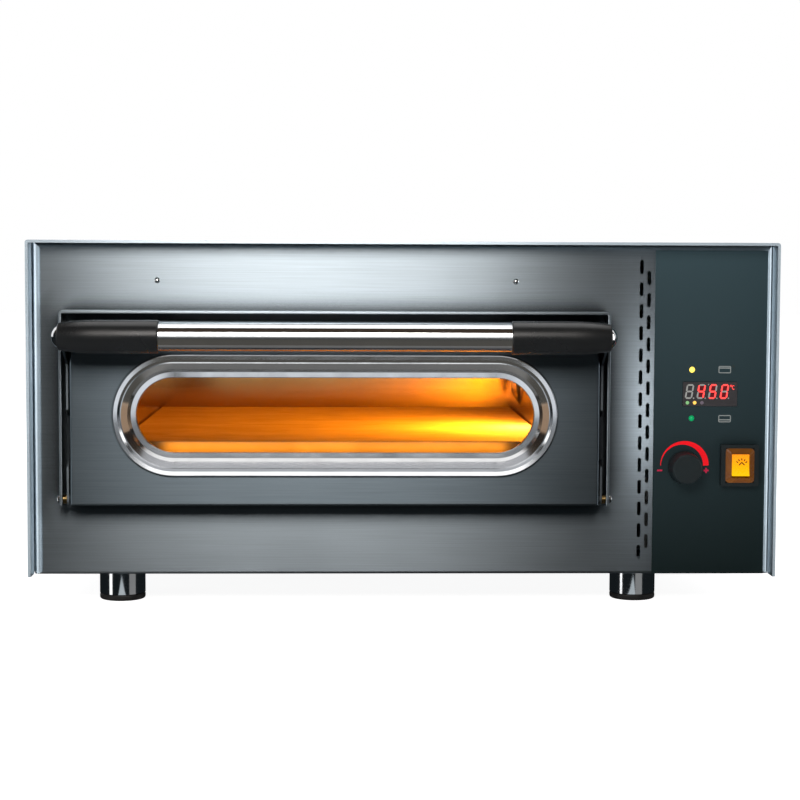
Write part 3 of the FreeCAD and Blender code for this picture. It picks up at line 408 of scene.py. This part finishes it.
steel_tone = (0.46, 0.535, 0.59)
door_tone = (0.245, 0.305, 0.35)
by_slot = {
    "brushed_steel": brushed_steel("brushed_steel", steel_tone),
    "bright_steel": polished_steel("bright_steel", (0.74, 0.75, 0.76), 0.11),
    "brass": brass("brass"),
    "chamber_steel": warm_chamber_steel("chamber_steel"),
    "baking_stone": fire_stone("baking_stone"),
    "heater_sheath": heater_sheath("heater_sheath"),
    "mineral_wool": mineral_wool("mineral_wool"),
    "lamp_glass": clear_glass("lamp_glass", (0.98, 0.94, 0.84), 1.45),
    "lamp_bulb": glowing_bulb("lamp_bulb"),
    "graphite_panel": graphite_film("graphite_panel"),
    "black_plastic": moulded_plastic("black_plastic", (0.010, 0.011, 0.012), 0.30),
    "grey_plastic": moulded_plastic("grey_plastic", (0.38, 0.39, 0.40), 0.5),
    "display_black": smoked_lens("display_black"),
    "yellow_lens": lit_lens("yellow_lens", (0.95, 0.62, 0.02), (1.0, 0.92, 0.25), 0.9),
    "green_lens": lit_lens("green_lens", (0.0, 0.22, 0.07), (0.0, 0.42, 0.14), 0.5),
    "amber_plastic": amber_collar("amber_plastic"),
    "amber_rocker": amber_rocker("amber_rocker"),
    "foot_rubber": black_rubber("foot_rubber"),
    "heat_seal": woven_seal("heat_seal"),
    "window_glass": clear_glass("window_glass", (0.99, 0.985, 0.97), 1.1),
}
knob_black = moulded_plastic("knob_black", (0.009, 0.017, 0.020), 0.5)
by_node = {
    "door_outer_panel": brushed_steel("door_steel", door_tone),
    "regulator_knob": knob_black,
    "switch_bezel": knob_black,
}

for piece in frame["record"]["subparts"]:
    surface = by_node.get(piece["node"], by_slot[piece["material_slot"]])
    mesh = nodes[piece["node"]].data
    mesh.materials.clear()
    mesh.materials.append(surface)

# Printed marks and display figures, drawn in millimetres


def mark(name, outlines, origin, body, surface, height=ink_height, face=None):
    """Makes a thin raised mark from flat outlines of (x, z) points, in millimetres from an origin.

    The mark stands on the origin's upright plane or, on a curved piece, at the Y that face gives.
    """

    def on_carrier(x, z):
        x, z = origin.x + x * mm, origin.z + z * mm
        return Vector((x, face(x, z) if face else origin.y, z))

    rise = Vector((0, -height, 0))
    shape = bmesh.new()
    for outline in outlines:
        points = [on_carrier(x, z) for x, z in outline]
        back = [shape.verts.new(point) for point in points]
        front = [shape.verts.new(point + rise) for point in points]
        shape.faces.new(front)
        shape.faces.new(list(reversed(back)))
        for i in range(len(points)):
            j = (i + 1) % len(points)
            shape.faces.new((front[j], front[i], back[i], back[j]))
    bmesh.ops.recalc_face_normals(shape, faces=shape.faces[:])
    mesh = bpy.data.meshes.new(name)
    shape.to_mesh(mesh)
    shape.free()
    mesh.materials.append(surface)
    piece = bpy.data.objects.new(name, mesh)
    bpy.context.scene.collection.objects.link(piece)
    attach(piece, body)


def disc(x, z, radius, corners=24):
    turns = [2 * math.pi * i / corners for i in range(corners)]
    return [(x + radius * math.cos(turn), z + radius * math.sin(turn)) for turn in turns]


def bar(x0, z0, x1, z1):
    return [(x0, z0), (x1, z0), (x1, z1), (x0, z1)]


def stroke_between(start, end, line):
    """A straight stroke of a given width between two points."""
    way = (end - start).normalized()
    out = Vector((-way.y, way.x)) * line / 2
    return [tuple(point) for point in (start - out, end - out, end + out, start + out)]


def arc(x, z, radius, line, first, last, steps, squash=1.0):
    """A band along an arc, as one four-cornered outline for each step, from one angle to another."""
    inner, outer = radius - line / 2, radius + line / 2
    outlines = []
    for i in range(steps):
        a, b = (math.radians(first + (last - first) * (i + step) / steps) for step in (0, 1))
        outlines.append([(x + squash * r * math.cos(t), z + r * math.sin(t))
                         for r, t in ((inner, a), (outer, a), (outer, b), (inner, b))])
    return outlines


# The display, measured from its lens's lower left corner

digit_width = 8.2
digit_height = 15.9
digit_pitch = 12.63
digit_slant = 0.155
stroke = 1.75
stroke_gap = 0.16
first_digit = (1.87, 7.9)
lit_segments = ("", "bcfg", "acdfg", "abcdef")
lower_point, lower_point_radius = (digit_width + 1.6, 0.75), 0.75
upper_point, upper_point_radius, upper_point_digit = (0.6, digit_height - 0.4), 0.6, 2
degree_ring = {"x": 52.27, "z": 22.0, "radius": 0.9, "line": 0.45}
degree_letter = {"x": 54.97, "z": 20.3, "radius": 2.0, "line": 0.6, "squash": 0.7}
stage_lamp_z, stage_lamp_radius = 3.7, 1.9
stage_lamps = (
    ("stage_lamp_green", 5.07, (0.16, 0.36, 0.15), 0.6),
    ("stage_lamp_amber", 12.97, (1.0, 0.55, 0.10), 0.6),
    ("stage_lamp_unlit", 20.77, (0.16, 0.13, 0.17), 0.0),
)


def segment_ends():
    """The two ends of each of the seven strokes, by their usual letters."""
    left, right = stroke / 2, digit_width - stroke / 2
    low, middle, high = stroke / 2, digit_height / 2, digit_height - stroke / 2
    return {
        "a": ((left, high), (right, high)),
        "b": ((right, middle), (right, high)),
        "c": ((right, low), (right, middle)),
        "d": ((left, low), (right, low)),
        "e": ((left, low), (left, middle)),
        "f": ((left, middle), (left, high)),
        "g": ((left, middle), (right, middle)),
    }


def slanted(corner, points):
    """Places the points of an upright digit at a corner, leaning to the right."""
    return [(corner[0] + x + digit_slant * z, corner[1] + z) for x, z in points]


def segment(letter, corner):
    """One pointed stroke of a slanted seven-stroke digit."""
    start, end = (Vector(point) for point in segment_ends()[letter])
    way = (end - start).normalized()
    out = Vector((-way.y, way.x)) * stroke / 2
    nose = way * stroke_gap
    shoulder = way * (stroke_gap + stroke / 2)
    points = (start + nose, start + shoulder - out, end - shoulder - out,
              end - nose, end - shoulder + out, start + shoulder + out)
    return slanted(corner, points)


def digit_outline(corner):
    """The slanted box along the middle of a digit's outer strokes."""
    inset = stroke / 2
    return slanted(corner, bar(inset, inset, digit_width - inset, digit_height - inset))


def display_marks():
    """The digits, their points, the degree sign and the three small lamps."""
    lens_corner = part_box("display_lens")[0]
    lit, unlit, points, glowing = [], [], [], []
    for place, letters in enumerate(lit_segments):
        x, z = first_digit[0] + place * digit_pitch, first_digit[1]
        for letter in segment_ends():
            (lit if letter in letters else unlit).append(segment(letter, (x, z)))
        points.append(disc(x + lower_point[0], z + lower_point[1], lower_point_radius))
        if place == upper_point_digit:
            points.append(disc(x + upper_point[0], z + upper_point[1], upper_point_radius))
        if letters:
            glowing.append(digit_outline((x, z)))
    degree = arc(**degree_ring, first=0, last=360, steps=20)
    degree += arc(**degree_letter, first=50, last=310, steps=14)
    red = printed_ink("lit_red", (1.0, 0.055, 0.05), 1.35)
    # Unlit strokes and points glow faintly though no lamp lights them: painted light.
    painted_glow_grey = printed_ink("unlit_grey", (0.30, 0.31, 0.30), 0.12)
    # A dark red sheet over the lit digits glows: painted light, the spill of their strokes through the
    # lens.
    painted_bloom = printed_ink("painted_digit_bloom", (0.11, 0.004, 0.008), 0.25)
    mark("painted_digit_bloom", glowing, lens_corner, "oven", painted_bloom, ink_height / 2)
    mark("digits_lit", lit, lens_corner, "oven", red)
    mark("digits_unlit", unlit, lens_corner, "oven", painted_glow_grey)
    mark("digit_points", points, lens_corner, "oven", painted_glow_grey)
    mark("degree_sign", degree, lens_corner, "oven", red)
    for name, x, colour, glow in stage_lamps:
        lamp = disc(x, stage_lamp_z, stage_lamp_radius)
        mark(name, [lamp], lens_corner, "oven", printed_ink(name, colour, glow))


# The panel's print, measured from the knob's middle and the lens's corner, and the lamp sign


def crescent():
    """The scale round the knob: a band that widens from left to right, between two arcs."""
    outer_centre, outer_radius = (0.27, 2.4), 26.3
    inner_centre, inner_radius = (-2.43, 1.8), 23.0
    steps = 60
    outlines = []
    for i in range(steps):
        quad = []
        for centre, radius, step in ((outer_centre, outer_radius, 0), (outer_centre, outer_radius, 1),
                                     (inner_centre, inner_radius, 1), (inner_centre, inner_radius, 0)):
            turn = math.pi * (i + step) / steps
            quad.append((centre[0] + radius * math.cos(turn), centre[1] + radius * math.sin(turn)))
        outlines.append(quad)
    return outlines


def scale_signs():
    """A minus at the scale's thin end and a plus at its thick end."""
    low, high, arm, rise = -4.2, -2.4, 5.6, 1.9
    minus_x, plus_x, post_x, post = -29.43, 21.07, 22.97, 1.8
    return [bar(minus_x, low, minus_x + arm, high), bar(plus_x, low, plus_x + arm, high),
            bar(post_x, high, post_x + post, high + rise), bar(post_x, low - rise, post_x + post, low)]


def rounded_loop(x, z, width, height, radius, steps=6):
    """The outline of a rounded box round a centre."""
    loop = []
    for quarter, (side, level) in enumerate(((1, 1), (-1, 1), (-1, -1), (1, -1))):
        centre_x = x + side * (width / 2 - radius)
        centre_z = z + level * (height / 2 - radius)
        for i in range(steps + 1):
            turn = math.pi / 2 * (quarter + i / steps)
            loop.append((centre_x + radius * math.cos(turn), centre_z + radius * math.sin(turn)))
    return loop


def oven_icon(x, z, bar_z):
    """A rounded frame with one heater bar in it."""
    width, height, line, corner, bar_line = 13.6, 7.8, 0.95, 1.5, 1.2
    outer = rounded_loop(x, z, width, height, corner)
    inner = rounded_loop(x, z, width - 2 * line, height - 2 * line, corner - line)
    count = len(outer)
    frame_quads = [[outer[i], outer[(i + 1) % count], inner[(i + 1) % count], inner[i]]
                   for i in range(count)]
    reach = width / 2 - line
    return frame_quads + [bar(x - reach, bar_z - bar_line / 2, x + reach, bar_z + bar_line / 2)]


def panel_marks():
    """The knob's scale with its two signs, and the icons of the upper and lower heaters."""
    panel_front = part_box("control_panel")[0].y
    knob = middle_of("regulator_body")
    knob_origin = Vector((knob.x, panel_front, knob.z))
    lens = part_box("display_lens")[0]
    icon_origin = Vector((lens.x, panel_front, lens.z))
    icons = oven_icon(45.27, 39.6, bar_z=41.3) + oven_icon(45.87, -13.6, bar_z=-14.8)
    # The print glows a little though it has no lamp: painted light on the scale, its signs and the
    # icons.
    red = printed_ink("scale_red", (0.90, 0.001, 0.010), 0.2)
    crimson = printed_ink("sign_crimson", (0.55, 0.012, 0.06), 0.05)
    pale_grey = printed_ink("icon_white", (0.26, 0.29, 0.29), 0.02)
    mark("knob_scale", crescent(), knob_origin, "oven", red)
    mark("scale_signs", scale_signs(), knob_origin, "oven", crimson)
    mark("heater_icons", icons, icon_origin, "oven", pale_grey)


def rocker_mark():
    """A rising-sun sign on the lit rocker, laid on its curved face."""
    rocker = nodes["switch_rocker"]
    centre, line, height = Vector((1.27, 1.55)), 1.1, 0.25 * mm
    ray_angles, ray_start, ray_end = (28, 57, 90, 123, 152), 4.4, 6.7
    peak_rise, foot_reach, foot_drop = 2.3, 3.1, 0.8
    well_in_front = -1.0

    def rocker_face(x, z):
        return rocker.ray_cast(Vector((x, well_in_front, z)), Vector(to_back))[1].y

    strokes = []
    for angle in ray_angles:
        way = Vector((math.cos(math.radians(angle)), math.sin(math.radians(angle))))
        strokes.append(stroke_between(centre + way * ray_start, centre + way * ray_end, line))
    for side in (-1, 1):
        peak = centre + Vector((0, peak_rise))
        foot = centre + Vector((side * foot_reach, -foot_drop))
        strokes.append(stroke_between(peak, foot, line))
    ink = printed_ink("sun_brown", (0.05, 0.008, 0.001))
    origin = middle_of("switch_bezel")
    mark("rocker_sun", strokes, origin, "rocker", ink, height, rocker_face)


display_marks()
panel_marks()
rocker_mark()

# Studio: floor, surroundings, lights and camera

white, cool, warm = (1.0, 1.0, 1.0), (0.90, 0.94, 1.0), (1.0, 0.95, 0.91)

# The Y of the lights that stand in front, and about the middle of the door
front_wall = -1.38
door_x = -0.07

polished_handle = ("handle_tube", "handle_cap_left", "handle_cap_right")
chamber_pieces = (
    "chamber_liner", "baking_stone", "stone_rails", "chamber_bearers", "upper_heaters",
    "heater_supports", "lamp_housing", "temperature_probe", "window_sleeve", "window_glass",
)


def pale_floor():
    """White paper that glows a little less round the oven."""
    size = 12.0
    near_glow, far_glow, near, far = 0.93, 1.0, 0.7, 2.2
    corners = [(-size, -size, 0), (size, -size, 0), (size, size, 0), (-size, size, 0)]
    mesh = bpy.data.meshes.new("floor")
    mesh.from_pydata(corners, [], [(0, 1, 2, 3)])
    floor = bpy.data.objects.new("floor", mesh)
    bpy.context.scene.collection.objects.link(floor)
    off_white, matt = (0.86, 0.86, 0.86), {"Specular IOR Level": 0.0}
    paper = Finish("floor_paper", off_white, roughness=0.9, constants=matt)
    paper.glow_evenly(white)
    glow = paper.spread(paper.length(paper.place()), near_glow, far_glow, near, far)
    paper.link(glow, paper.shader.inputs["Emission Strength"])
    paper.vary_roughness(paper.noise((50, 50, 50), detail=3.0), 0.05)
    mesh.materials.append(paper.material)
    floor.visible_glossy = False
    floor.visible_shadow = False


def studio_surroundings():
    """White behind the object, and a dim room for everything that reflects."""
    world = bpy.data.worlds.new("studio")
    bpy.context.scene.world = world
    world.use_nodes = True
    tree = world.node_tree
    tree.nodes.clear()

    def add(kind):
        return tree.nodes.new("ShaderNode" + kind)

    split = add("SeparateXYZ")
    height = add("MapRange")
    height.inputs["From Min"].default_value = -1.0
    ramp = add("ValToRGB")
    below, level, above = (0.02, 0.02, 0.02), (0.008, 0.011, 0.013), (0.05, 0.036, 0.026)
    stops = ((0.10, below), (0.44, level), (0.60, level), (0.80, above))
    while len(ramp.color_ramp.elements) < len(stops):
        ramp.color_ramp.elements.new(1.0)
    for element, (position, colour) in zip(ramp.color_ramp.elements, stops):
        element.position = position
        element.color = (*colour, 1.0)
    room = add("Background")
    backdrop = add("Background")
    backdrop.inputs["Color"].default_value = (*white, 1.0)
    choice = add("MixShader")
    tree.links.new(add("TexCoord").outputs["Generated"], split.inputs[0])
    tree.links.new(split.outputs["Z"], height.inputs["Value"])
    tree.links.new(height.outputs["Result"], ramp.inputs["Fac"])
    tree.links.new(ramp.outputs["Color"], room.inputs["Color"])
    tree.links.new(add("LightPath").outputs["Is Camera Ray"], choice.inputs["Fac"])
    tree.links.new(room.outputs[0], choice.inputs[1])
    tree.links.new(backdrop.outputs[0], choice.inputs[2])
    tree.links.new(choice.outputs[0], add("OutputWorld").inputs["Surface"])


def softbox(name, centre, facing, width, height, radiance, colour=white):
    """A soft light that mirrors show at about its radiance, and that the camera doesn't see."""
    power_per_area = 4.0
    lamp = bpy.data.lights.new(name, "AREA")
    lamp.shape = "RECTANGLE"
    lamp.size = width
    lamp.size_y = height
    lamp.energy = power_per_area * width * height * radiance
    lamp.color = colour
    light = bpy.data.objects.new(name, lamp)
    light.location = centre
    light.rotation_euler = Vector(facing).to_track_quat("-Z", "Y").to_euler()
    light.visible_camera = False
    bpy.context.scene.collection.objects.link(light)
    return light


def piece_collection(name, node_names):
    pieces = bpy.data.collections.new(name)
    for node_name in node_names:
        pieces.objects.link(nodes[node_name])
    return pieces


def all_but(name, node_names):
    """A collection that leaves some pieces out of a light's effect."""
    pieces = piece_collection(name, node_names)
    for piece in pieces.collection_objects:
        piece.light_linking.link_state = "EXCLUDE"
    return pieces


def light_only(lights, node_names):
    """Keeps some lights for a few pieces."""
    lit = piece_collection(lights[0].name + "_pieces", node_names)
    for light in lights:
        light.light_linking.receiver_collection = lit


def studio_lights():
    """The lights stay off the chamber and the window trim, which have their own."""
    lights = [
        softbox("front_softbox", (-0.165, front_wall, 0.87), to_back, 0.57, 0.62, 6.4, warm),
        softbox("front_edge", (0.18, front_wall, 0.87), to_back, 0.12, 0.62, 3.4, warm),
        softbox("front_low", (-0.12, front_wall, 0.16), to_back, 0.66, 0.22, 0.06),
        softbox("top_softbox", (0.0, 0.285, 1.35), down, 1.2, 1.53, 1.4),
        softbox("left_strip", (-1.35, -0.91, 0.0), (1.0, 0.55, 0.0), 0.35, 1.8, 1.2),
        softbox("right_side", (1.5, -0.5, 0.5), (-1.0, 0.3, 0.0), 0.5, 0.9, 1.5),
        softbox("left_back", (-1.8, 0.9, 0.9), (1.0, -0.35, -0.35), 1.4, 1.4, 0.9),
        softbox("right_back", (1.8, 0.7, 0.9), (-1.0, -0.25, -0.35), 1.4, 1.4, 0.9),
        softbox("rear", (0.1, 2.2, 0.8), (0, -1.0, -0.25), 1.8, 1.2, 0.8),
    ]
    lit_apart = all_but("lit_apart", (*chamber_pieces, "window_trim"))
    for light in lights:
        light.light_linking.receiver_collection = lit_apart


def trim_lights():
    """What the polished window trim mirrors: warm walls beside it, pale fields above and in front."""
    copper = (1.0, 0.66, 0.42)
    lights = [
        softbox("trim_low", (-0.065, front_wall, 0.039), to_back, 0.53, 0.178, 0.75, cool),
        softbox("trim_middle", (door_x, front_wall, 0.2065), to_back, 1.3, 0.157, 0.16, cool),
        softbox("trim_high", (door_x, front_wall, 0.357), to_back, 1.3, 0.125, 1.5),
        softbox("trim_front", (door_x, front_wall, 0.75), to_back, 1.3, 0.40, 0.43, cool),
        softbox("trim_above", (door_x, -0.64, 0.86), (0, 0.45, -0.89), 1.0, 0.25, 0.42, cool),
        softbox("trim_top", (door_x, -0.446, 0.93), (0, 0.21, -0.98), 1.0, 0.11, 0.9),
        softbox("trim_left", (-0.66, -0.66, 0.17), (1.0, 0.4, 0), 0.4, 0.5, 0.3, copper),
        softbox("trim_right", (0.52, -0.66, 0.17), (-1.0, 0.4, 0), 0.4, 0.5, 0.3, copper),
        softbox("trim_lip", (-0.073, -0.281, 0.266), down, 0.36, 0.005, 1.0),
    ]
    light_only(lights, ("window_trim",))


def handle_lights():
    """The dim floor and the pale wall in front, as the polished handle and trim mirror them."""
    floor_tone = (1.0, 0.93, 0.8)
    far_floor = softbox("far_floor", (0.0, -1.9, -0.5), up, 4.0, 2.7, 0.06, floor_tone)
    near_floor = softbox("near_floor", (door_x, -0.415, -0.3), up, 1.2, 0.27, 0.11)
    light_only((far_floor, near_floor), ("window_trim", *polished_handle))
    wall = softbox("handle_wall", (door_x, front_wall, 0.45), to_back, 1.3, 0.22, 0.8)
    wall_foot = softbox("handle_wall_foot", (door_x, front_wall, 0.22), to_back, 1.3, 0.22, 0.15)
    light_only((wall, wall_foot), polished_handle)


def foot_lights():
    """What the polished feet mirror: bright floor in front of each and a grey field at their right."""
    pale_blue = (0.86, 0.95, 1.0)
    front_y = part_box("foot_tubes")[0].y - 75 * mm
    lights = [softbox("foot_side", (0.417, -0.73, -0.1), (-1.0, 0.156, 0), 0.61, 0.4, 0.2)]
    for side, x in (("left", -0.305), ("right", 0.245)):
        patch = softbox("foot_front_" + side, (x, front_y, 0.0), up, 38 * mm, 170 * mm, 0.35, pale_blue)
        patch.data.shape = "ELLIPSE"
        lights.append(patch)
    light_only(lights, ("foot_tubes",))


def slot_kicker():
    """A near reflector that brightens the front plate beside its slots."""
    kicker = softbox("slot_kicker", (0.287, -0.41, 0.21), to_back, 0.03, 0.08, 3.0)
    light_only((kicker,), ("front_fascia",))


def edge_lights():
    """Pale fields that the casing's hem mirrors, and side light for the folds behind it."""
    hem = softbox("hem_field", (0.05, front_wall, 0.22), to_back, 1.7, 0.6, 1.8)
    light_only((hem,), ("outer_cover",))
    sides = [
        softbox("left_fold", (-1.15, -0.95, 0.25), (0.75, 0.66, 0), 0.7, 0.6, 1.1),
        softbox("right_fold", (1.15, -0.95, 0.25), (-0.75, 0.66, 0), 0.7, 0.6, 1.1),
        softbox("left_turn", (-1.45, -0.40, 0.25), (1.0, 0.12, 0), 0.6, 0.6, 3.0),
        softbox("right_turn", (1.45, -0.40, 0.25), (-1.0, 0.12, 0), 0.6, 0.6, 3.0),
    ]
    light_only(sides, ("front_fascia",))
    fold_shading = all_but("fold_shading", ("outer_cover",))
    for light in sides:
        light.light_linking.blocker_collection = fold_shading


def chamber_glow():
    """Warm light in the chamber: from the right, from the upper heaters and from the door's foot."""
    amber, ember = (1.0, 0.345, 0.003), (1.0, 0.28, 0.003)
    pale_gold, gold = (1.0, 0.8, 0.5), (1.0, 0.40, 0.03)
    lamp_size, core_size, strip_height = 64 * mm, 30 * mm, 8 * mm
    lamp_place = (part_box("chamber_liner")[1].x - 20 * mm, -60 * mm, 225 * mm)
    lamp = softbox("chamber_lamp", lamp_place, (-1.0, 0.0, -0.3), lamp_size, lamp_size, 200.0, amber)
    core = softbox("lamp_core", lamp_place, (-0.35, 0.0, -1.0), core_size, core_size, 26.0, pale_gold)
    for light in (lamp, core):
        light.data.shape = "DISK"
    heaters_middle, heaters_size = middle_of("upper_heaters"), size_of("upper_heaters")
    under_heaters = (heaters_middle.x, heaters_middle.y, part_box("upper_heaters")[0].z - 3 * mm)
    heaters = softbox("heater_glow", under_heaters, down, heaters_size.x, heaters_size.y, 0.5, ember)
    stone_low, stone_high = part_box("baking_stone")
    before_stone = (heaters_middle.x, stone_low.y - 9 * mm, stone_high.z - 6 * mm)
    door = softbox("door_glow", before_stone, to_back, heaters_size.x, strip_height, 5.0, gold)
    lights = (lamp, core, heaters, door)
    for light in lights:
        light.visible_transmission = False
    light_only(lights, chamber_pieces)


def photo_camera():
    """The camera of the photograph, as fitted to the casing's corners."""
    yaw, pitch, roll = (math.radians(angle) for angle in (1.815, -4.055, 0.24))
    position, focal_length, film_width = (-0.06865, -2.28565, 0.36765), 85.5, 36.0
    forward = Vector((math.sin(yaw) * math.cos(pitch), math.cos(yaw) * math.cos(pitch), math.sin(pitch)))
    level_right = Vector((math.cos(yaw), -math.sin(yaw), 0.0))
    level_up = level_right.cross(forward)
    right = level_right * math.cos(roll) + level_up * math.sin(roll)
    top = level_up * math.cos(roll) - level_right * math.sin(roll)
    lens = bpy.data.cameras.new("photo_camera")
    lens.lens = focal_length
    lens.sensor_width = film_width
    camera = bpy.data.objects.new("photo_camera", lens)
    turn = Matrix((right, top, -forward)).transposed().to_4x4()
    camera.matrix_world = Matrix.Translation(position) @ turn
    bpy.context.scene.collection.objects.link(camera)
    bpy.context.scene.camera = camera


pale_floor()
studio_surroundings()
studio_lights()
trim_lights()
handle_lights()
foot_lights()
slot_kicker()
edge_lights()
chamber_glow()
photo_camera()
bpy.context.scene.view_settings.view_transform = "Standard"
